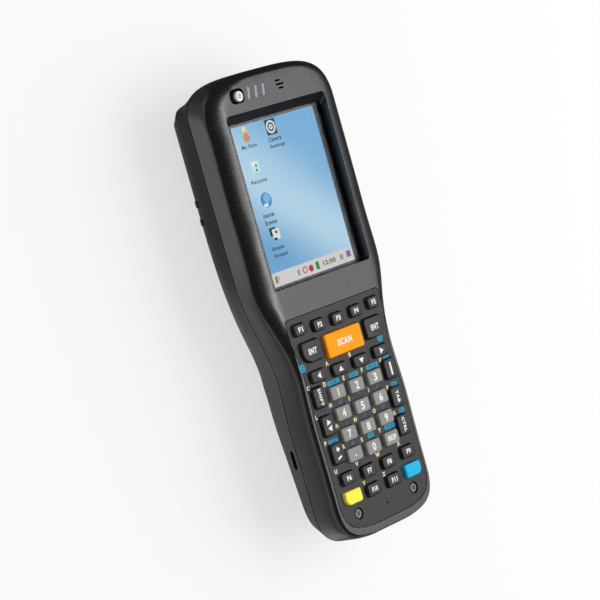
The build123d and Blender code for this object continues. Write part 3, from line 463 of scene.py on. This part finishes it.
def soft_copy(name, keep, sink=0.0):
    """Copy of one of the frame's solids, its doubles merged, its small steps as one curve.
    Edges sharper than keep degrees stay sharp; a key's top goes down by sink.
    """
    mesh = frame["nodes"][name].data.copy()
    shape = bmesh.new()
    shape.from_mesh(mesh)
    bmesh.ops.remove_doubles(shape, verts=shape.verts, dist=MERGE_WITHIN * MM)
    for vertex in shape.verts:
        if vertex.co.z > (KEY_TOP_Z - 0.01) * MM:
            vertex.co.z -= sink * MM
    shape.normal_update()
    for edge in shape.edges:
        edge.smooth = edge.calc_face_angle(pi) < radians(keep)
    for face in shape.faces:
        face.smooth = True
    shape.to_mesh(mesh)
    shape.free()
    piece = bpy.data.objects.new(name + "_soft", mesh)
    bpy.context.collection.objects.link(piece)
    weighted = piece.modifiers.new("weighted", "WEIGHTED_NORMAL")
    weighted.keep_sharp = True
    weighted.weight = 80
    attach(piece, body_of[name])
    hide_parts(name)
    return piece


# ---- Lettering ----
def glyphs(text, height, bold=0.0, width=None):
    """Vertices and faces of a line of text, centred, scaled to the given height and width."""
    curve = bpy.data.curves.new("letters", "FONT")
    curve.body = text
    curve.resolution_u = 3
    curve.offset = bold
    curve.space_character = 1.15
    curve.extrude = 0.01
    holder = bpy.data.objects.new("letters", curve)
    bpy.context.collection.objects.link(holder)
    mesh = bpy.data.meshes.new_from_object(holder)
    points = np.empty(len(mesh.vertices) * 3)
    mesh.vertices.foreach_get("co", points)
    points = points.reshape(-1, 3)
    faces = [tuple(face.vertices) for face in mesh.polygons]
    bpy.data.objects.remove(holder)
    bpy.data.curves.remove(curve)
    bpy.data.meshes.remove(mesh)
    low, high = points.min(0), points.max(0)
    scale = np.full(2, height / (high[1] - low[1]))
    if width:
        scale[0] = width / (high[0] - low[0])
    points[:, :2] = (points[:, :2] - (low[:2] + high[:2]) / 2) * scale
    points[:, 2] = np.where(points[:, 2] > 0, 0.0, -PRINT_THICK)
    return points, faces


def polygon(corners):
    """Flat plate of the given corners, counter-clockwise, as thick as a print."""
    corners = np.asarray(corners, float)
    count = len(corners)
    points = np.concatenate([np.column_stack([corners, np.zeros(count)]),
                             np.column_stack([corners, np.full(count, -PRINT_THICK)])])
    faces = [tuple(range(count)), tuple(range(2 * count - 1, count - 1, -1))]
    faces += [(i, i + count, (i + 1) % count + count, (i + 1) % count) for i in range(count)]
    return points, faces


def bar(width, height):
    """Rectangular plate round its own centre."""
    half = width / 2, height / 2
    return polygon([(-half[0], -half[1]), (half[0], -half[1]), half, (-half[0], half[1])])


def disc(radius, steps=24):
    """Round plate."""
    turn = np.linspace(0, 2 * pi, steps, endpoint=False)
    return polygon(np.column_stack([np.cos(turn), np.sin(turn)]) * radius)


def ring(radius, thick, start=0.0, end=2 * pi, steps=28):
    """Arc band of the given mean radius and thickness, as a polygon."""
    angle = np.linspace(start, end, steps)
    circle = np.column_stack([np.cos(angle), np.sin(angle)])
    return polygon(np.concatenate([circle * (radius + thick / 2),
                                   circle[::-1] * (radius - thick / 2)]))


PICTURE_Z = 30.33          # lowest marks of the lit picture, laminated to the glass
MARK_STEP = 0.02           # each mark of an icon above the one before it


def film(shape):
    """The same print, thinner than the step between two marks of the picture."""
    points, faces = shape
    return points * (1, 1, MARK_STEP / 2 / PRINT_THICK), faces


def put(shape, x, y, z, turn=0.0):
    """Moves a print's (points, faces) to its place, turned in plan by turn degrees."""
    points, faces = shape
    c, s = cos(radians(turn)), sin(radians(turn))
    plan = points[:, :2] @ np.array([[c, s], [-s, c]])
    return np.column_stack([plan + (x, y), points[:, 2] + z]), faces


def joined(shapes):
    """One (points, faces) of many, and the index of the shape that each face came from."""
    points, faces, owners, start = [], [], [], 0
    for owner, (part_points, part_faces) in enumerate(shapes):
        points.append(part_points)
        faces += [tuple(i + start for i in face) for face in part_faces]
        owners += [owner] * len(part_faces)
        start += len(part_points)
    return np.concatenate(points), faces, owners


def add_print(name, body, material, shapes):
    """New piece of several prints together."""
    points, faces, _ = joined(shapes)
    return add_piece(name, body, material, points, faces)


MATERIALS = {
    # shells: black polycarbonate blend, satin in front and fine matt at the back
    "shell_plastic": moulded("polycarbonate_shell_black", "#1a1a1c", 0.27, grain=0.12,
                             specular=1.0),
    "rear_plastic": moulded("polycarbonate_rear_black", "#171716", 0.5, grain=0.3,
                            specular=0.18),
    # keypad plate and the keys that stand in it
    "panel_plastic": moulded("polycarbonate_panel_grey", "#242325", 0.42, grain=0.3),
    "key_black": moulded("silicone_key_black", "#212122", 0.4, grain=0.2),
    "key_grey": moulded("silicone_key_grey", "#8d8d8a", 0.5, grain=0.2, specular=0.3),
    "key_orange": moulded("silicone_key_orange", "#ff9d10", 0.5, shade=0.06, specular=0.2),
    "key_yellow": moulded("silicone_key_yellow", "#f8f155", 0.5, shade=0.06, specular=0.2),
    "key_blue": moulded("silicone_key_blue", "#1ab2e0", 0.5, shade=0.06, specular=0.3),
    "button_white": moulded("abs_white", "#efefec", 0.35, shade=0.04, specular=0.3),
    "latch_plastic": moulded("pom_latch_black", "#1d1d1f", 0.4),
    "seal_rubber": moulded("nitrile_rubber", "#0b0b0c", 0.6, specular=0.25),
    "foam_gasket": moulded("foam_gasket", "#131313", 0.8, grain_mm=0.8, grain=0.6),
    "circuit_board": moulded("fr4_board_green", "#1d6b38", 0.4),
    "screw_steel": metal("blackened_steel", "#7c7c80", 0.26),
    "display_glass": clear_glass("cover_glass", "#f4f8fa"),
    "display_panel": lit_picture("lit_display", ((0.12, "#70a5cd"), (0.94, "#7db1d8"),
                                                 (0.52, "#b5d3e6")), 1.0),
    "light_lens": moulded("light_guide_frosted", "#8a95a6", 0.3, shade=0.05),
    "speaker_plastic": moulded("speaker_black", "#0c0c0c", 0.6),
    "engine_plastic": moulded("engine_black", "#1c1c1e", 0.5),
    "scan_glass": moulded("scan_window_red", "#1c0304", 0.08, grain=0.0, shade=0.2),
    "battery_plastic": moulded("battery_black", "#1e1e20", 0.5),
    "contact_gold": metal("gold_plate", "#d9a441", 0.25),
}
WHITE_INK = ink("print_white", "#e9e9e7")
CREAM_INK = ink("print_cream", "#f1dca0")
BLUE_INK = ink("print_blue", "#1590b4")
BLACK_INK = ink("print_black", "#050506", 0.35)
DARK_INK = ink("print_dark", "#2a2a2c", 0.5)
DEEP_BLUE_INK = ink("print_deep_blue", "#12587a")
DIM_BLUE_INK = ink("print_dim_blue", "#2c5a78")
# matte near-black liner of the power key's recess, partly its own black and partly painted
# shade
LINER = moulded("recess_liner_black_painted_shade", "#060607", 0.8, specular=0.12)

record = frame["record"]
slot_of = {row["node"]: row["material_slot"] for row in record["subparts"]}
body_of = {node: body for body, nodes in record["behaviour"]["bodies"].items()
           for node in nodes}
for node, thing in frame["nodes"].items():
    thing.data.materials.clear()
    thing.data.materials.append(MATERIALS[slot_of[node]])


# ---- Shells and keys ----
soft_copy("front_housing", SHELL_KEEP)
soft_copy("rear_housing", BACK_KEEP)
soft_copy("battery_cover", BACK_KEEP)
KEYS = sorted(node for node in frame["nodes"] if node.startswith("key_"))
for node in KEYS:
    soft_copy(node, KEY_KEEP, KEY_SINK)
soft_copy("power_button", KEY_KEEP)


def key_centre(node):
    """Plan position of a key's middle."""
    low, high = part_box(node)
    return ((low[0] + high[0]) / 2 / MM, (low[1] + high[1]) / 2 / MM - DISPLAY_Y)


ARROW = [(-1.2, 0.0), (0.9, -1.4), (0.9, 1.4)]
DIAMOND = [(-1.1, 0.0), (0.0, -1.1), (1.1, 0.0), (0.0, 1.1)]
# text, height and width of each legend; the side keys' run along the device
KEY_LEGENDS = {f"key_f{n}": (f"F{n}", 2.1, 2.6 if n < 10 else 3.4) for n in range(1, 12)}
KEY_LEGENDS.update({f"key_{n}": (str(n), 3.3, 0.7 if n == 1 else 2.1) for n in range(10)})
KEY_LEGENDS.update(key_enter_left=("ENT", 2.4, 4.8), key_enter_right=("ENT", 2.4, 4.8),
                   key_scan=("SCAN", 2.8, 8.6), key_backspace=("BKSP", 2.2, 5.0))
SIDE_LEGENDS = {"key_side_left_upper": ("SHIFT", 7.0), "key_side_right_middle": ("TAB", 5.0),
                "key_side_right_lower": ("CTRL", 6.2)}
SIDE_HEIGHT = 1.6
POINT_HEIGHT = 0.9
ARROW_TURNS = {"key_left": 0, "key_down": 90, "key_right": 180, "key_up": 270}


def key_print(node):
    """White print on a key's face: letters, arrows or the marks of the tall side keys."""
    x, y = key_centre(node)
    if node in KEY_LEGENDS:
        text, height, width = KEY_LEGENDS[node]
        bold = THIN_BOLD if text.isdigit() else BOLD
        return [put(glyphs(text, height, bold, width), x, y, KEY_TOP_Z)]
    if node in SIDE_LEGENDS:
        text, width = SIDE_LEGENDS[node]
        return [put(glyphs(text, SIDE_HEIGHT, BOLD, width), x, y, KEY_TOP_Z, -90)]
    if node in ARROW_TURNS:
        return [put(polygon(ARROW), x, y, KEY_TOP_Z, ARROW_TURNS[node])]
    if node == "key_side_left_middle":
        return [put(polygon(ARROW), x - 0.3, y + 1.4, KEY_TOP_Z, 290),
                put(polygon(ARROW), x + 0.3, y - 1.4, KEY_TOP_Z, 110)]
    if node == "key_side_left_lower":
        return [put(polygon(DIAMOND), x, y + 1.6, KEY_TOP_Z),
                put(bar(2.4, 0.8), x, y - 1.8, KEY_TOP_Z, 20)]
    if node == "key_side_right_upper":
        return [put(bar(1.0, 5.4), x, y, KEY_TOP_Z)]
    if node == "key_point":
        return [put(glyphs(".", POINT_HEIGHT), x, y - 0.6, KEY_TOP_Z)]
    return []


for node in KEYS:
    shapes = key_print(node)
    if shapes:
        add_print(node + "_legend", body_of[node], WHITE_INK, shapes)

# letters and shifted functions on the keypad panel, between the keys: x, y, text
CREAM = ((-12, -67.5, "A"), (2, -67.5, "B"), (-26, -74.0, "C"), (-16.5, -74.8, "D"),
         (-5, -75.4, "E"), (6.5, -75.2, "F"), (18.5, -74.4, "G"), (-16.5, -83.6, "H"),
         (-5.2, -84.0, "I"), (7, -83.8, "J"), (18.5, -86.0, "K"), (-26, -86.0, "L"),
         (-16.4, -92.4, "M"), (-5, -92.8, "N"), (7, -92.6, "O"), (-25, -97.0, "P"),
         (18, -96.8, "Q"), (-15.6, -101.0, "R"), (-4.5, -101.4, "S"), (7, -101.0, "T"),
         (-23.7, -109.0, "U"), (-11, -109.6, "V"), (2, -109.6, "W"), (15.5, -109.0, "X"),
         (-10, -118.0, "Y"), (2.5, -118.0, "Z"))
# function marks, bright as blue plates with dark words, and dim ones: x, y, text, width
BLUE = ((22.3, -74.3, "CUT", 3.4), (-11.4, -75.4, "HOME", 7.2), (1.0, -75.6, "END", 5.6),
        (12.9, -75.2, "PG UP", 7.4), (22.6, -85.6, "FN", 3.6), (22.8, -96.8, "OK", 3.4),
        (-20.5, -97.4, "CAPS", 5.6), (13.4, -100.9, "PG DN", 6.6), (1.2, -101.2, "+", 3.6))
DIM_BLUE = ((-20.4, -86.4, "CTL", 4.4), (-10.4, -83.8, "-", 2.0), (1.0, -84.0, "*", 2.4),
            (12.6, -83.8, "/", 2.4), (-10.2, -92.6, "(", 1.6), (1.0, -92.6, ")", 1.6),
            (12.8, -92.4, "=", 2.4), (-10.0, -101.2, "#", 2.4))
ROUND_MARKS = ((-26, -65.8), (21.8, -65.6))
CREAM_HEIGHT = 1.8
DIM_HEIGHT = 1.5
PLATE_HEIGHT, PLATE_ROUND = 1.9, 0.5
WORD_HEIGHT, WORD_SHARE = 1.0, 0.62    # height of a word, and its share of the plate's width
PANEL_PRINT_Z = FACE_Z + PRINT_LIFT
WORD_Z = PANEL_PRINT_Z + 0.01
add_print("panel_letters", "terminal", CREAM_INK,
          [put(glyphs(text, CREAM_HEIGHT, BOLD), x, y, PANEL_PRINT_Z) for x, y, text in CREAM])
plates = [put(polygon(rounded_rectangle(width, PLATE_HEIGHT, PLATE_ROUND, steps=4)),
              x, y, PANEL_PRINT_Z) for x, y, _, width in BLUE]
plates += [put(disc(1.7), x, y, PANEL_PRINT_Z) for x, y in ROUND_MARKS]
add_print("panel_functions", "terminal", BLUE_INK, plates)
words = [put(glyphs(text, WORD_HEIGHT, BOLD, WORD_SHARE * width), x, y, WORD_Z)
         for x, y, text, width in BLUE]
words += [put(ring(0.8, 0.3), x, y, WORD_Z) for x, y in ROUND_MARKS]
add_print("panel_function_words", "terminal", DEEP_BLUE_INK, words)
add_print("panel_dim_functions", "terminal", DIM_BLUE_INK,
          [put(glyphs(text, DIM_HEIGHT, BOLD, width), x, y, PANEL_PRINT_Z)
           for x, y, text, width in DIM_BLUE])

# ---- Power key ----
MARK_Z = BUTTON_TOP_Z + 0.02
mark = [put(ring(0.75, 0.34, radians(125), radians(415)), BUTTON_X, BUTTON_Y, MARK_Z),
        put(bar(0.3, 1.1), BUTTON_X, BUTTON_Y + 0.7, MARK_Z)]
add_print("power_mark", body_of["power_button"], DARK_INK, mark)

# liner of the pill-shaped recess: floor and wall, open where the key passes; its matte
# near-black is partly a black liner and partly painted shade of the recess
LINER_GAP = 0.03           # from the walls and the floor of the recess
LINER_LIP = 0.4            # how far it turns down into the key's hole
LINER_SHY = 0.02           # its rim below the face
pill = rounded_rectangle(*PILL_SIZE, PILL_ROUND) + (PILL_X, PILL_Y)
inward = rounded_rectangle(*(side - 2 * LINER_GAP for side in PILL_SIZE), PILL_ROUND)
inward = inward + (PILL_X, PILL_Y)
angle = np.arctan2(pill[:, 1] - BUTTON_Y, pill[:, 0] - BUTTON_X)
hole = np.column_stack([BUTTON_X + BUTTON_HOLE / 2 * np.cos(angle),
                        BUTTON_Y + BUTTON_HOLE / 2 * np.sin(angle)])
floor_z = FACE_Z - PILL_DEPTH
points, faces = ring_profile([(hole, floor_z - LINER_LIP), (hole, floor_z + LINER_GAP),
                              (inward, floor_z + LINER_GAP), (inward, FACE_Z - LINER_SHY)])
add_piece("pill_liner_painted_shade", "terminal", LINER, points, faces[:, ::-1])

# ---- Display ----
# black printed border under the glass, with the lit area open
BORDER_Z = LEDGE_Z + 0.02
FILM_Z = LEDGE_Z + 0.018
WINDOW_ROUND = 0.3
BORDER_SHY = 0.1           # narrower and shorter than the glass by this
window = rounded_rectangle(SCREEN_WIDTH, SCREEN_LENGTH, WINDOW_ROUND)
edge = rounded_rectangle(GLASS_WIDTH - BORDER_SHY, GLASS_LENGTH - BORDER_SHY, GLASS_RADIUS)
points, faces = ring_profile([(window, BORDER_Z), (edge, BORDER_Z)])
add_piece("display_border", "terminal", BLACK_INK, points, faces[:, ::-1])
# lit film of the display, bonded to the glass inside that border
add_print("lit_film", "terminal", MATERIALS["display_panel"],
          [put(film(bar(SCREEN_WIDTH, SCREEN_LENGTH)), 0, 0, FILM_Z)])
CAPTION_HEIGHT = 1.9


def box_mark(x, y, width, height, code):
    """Rectangle on the lit picture: its print, its place and its colour."""
    return bar(width, height), x, y, code


def disc_mark(x, y, radius, code):
    """Disc on the lit picture."""
    return disc(radius), x, y, code


def words_mark(x, y, text, width, code="#3f5c78"):
    """Line of words on the lit picture."""
    return glyphs(text, CAPTION_HEIGHT, THIN_BOLD, width), x, y, code


BAR_Y = (TASKBAR - SCREEN_LENGTH) / 2
# marks that overlap stand in one group, each drawn over the one before it
GROUPS = (
    (box_mark(-17.4, 30.2, 2.8, 3.4, "#d9d46e"), disc_mark(-17.1, 27.4, 1.9, "#d99a80"),
     box_mark(-17.5, 30.8, 1.5, 1.8, "#f4f2d0")),
    (words_mark(-16.9, 23.6, "My Data", 8.6),),
    (box_mark(-2.2, 28.9, 6.0, 6.4, "#46525c"), disc_mark(-2.2, 28.9, 2.7, "#e3e9ee"),
     disc_mark(-2.2, 28.9, 1.8, "#4a565f"), disc_mark(-2.2, 28.9, 1.1, "#f2f5f7"),
     disc_mark(-2.2, 28.9, 0.4, "#2c343a")),
    (words_mark(-1.7, 24.0, "Camera", 7.4),), (words_mark(-1.2, 21.0, "Settings", 8.6),),
    (box_mark(-16.9, 15.4, 4.6, 4.8, "#d5f2ee"), box_mark(-17.6, 16.6, 2.2, 1.2, "#f6fffc"),
     disc_mark(-16.2, 15.8, 0.55, "#3f8f84"), disc_mark(-16.4, 14.0, 0.55, "#3f8f84")),
    (words_mark(-16.9, 9.4, "Recycle", 8.8),),
    (disc_mark(-15.9, 1.6, 3.1, "#4f97d6"), disc_mark(-15.4, 2.3, 1.9, "#8fc0ea"),
     box_mark(-16.6, -0.4, 2.4, 1.4, "#eaf4fb")),
    (words_mark(-16.8, -4.3, "Internet", 6.4, "#2f5680"),),
    (words_mark(-16.4, -7.3, "Browser", 7.0, "#2f5680"),),
    (box_mark(-17.2, -11.2, 3.6, 3.4, "#2f4a42"), box_mark(-15.6, -12.4, 4.0, 4.2, "#eef3f1"),
     box_mark(-15.4, -11.6, 1.4, 1.2, "#4f6f80"), box_mark(-16.6, -14.2, 1.8, 1.0, "#20383a")),
    (words_mark(-16.8, -18.0, "Simple", 6.8, "#22486e"),),
    (words_mark(-16.2, -20.9, "Notepad", 7.6, "#22486e"),),
    (box_mark(0, BAR_Y, SCREEN_WIDTH, TASKBAR, "#e2dddc"),
     box_mark(-22.4, BAR_Y, 1.5, 2.8, "#9c8a66"),
     box_mark(-21.0, BAR_Y + 0.4, 0.9, 1.6, "#c4b49a"),
     box_mark(-9.2, BAR_Y - 0.2, 1.4, 2.2, "#8fa2c4"), disc_mark(-5.4, BAR_Y, 1.5, "#cf7f8c"),
     disc_mark(-5.4, BAR_Y, 0.8, "#efdfe0"), disc_mark(-1.8, BAR_Y - 0.2, 1.4, "#b8484c"),
     box_mark(2.2, BAR_Y, 1.9, 3.2, "#3c8a58"), box_mark(17.0, BAR_Y, 2.0, 2.2, "#a6a1a4"),
     box_mark(21.4, BAR_Y + 0.4, 2.6, 2.6, "#8274a8")),
)
CLOCK = words_mark(9.4, BAR_Y, "12:00", 7.6, "#4c4644")
CLOCK_DEPTH = 9            # as high as the last mark on the bar along the bottom
drawn = [(mark, depth) for group in GROUPS for depth, mark in enumerate(group)]
shapes, tints = [], []
for (shape, x, y, code), depth in drawn + [(CLOCK, CLOCK_DEPTH)]:
    shapes.append(put(film(shape), x, y, PICTURE_Z + (depth + 1) * MARK_STEP))
    tints.append(linear(code))
points, faces, owners = joined(shapes)
icons = add_piece("screen_marks", "terminal", lit_marks("lit_marks", 0.95),
                  points, faces)
layer = icons.data.color_attributes.new("tint", "FLOAT_COLOR", "CORNER")
colours = np.repeat(np.array(tints)[owners], [len(face) for face in faces], axis=0)
layer.data.foreach_set("color", colours.ravel())

set_camera()
set_world()
make_floor()
set_lights()
bpy.context.scene.view_settings.view_transform = "Standard"
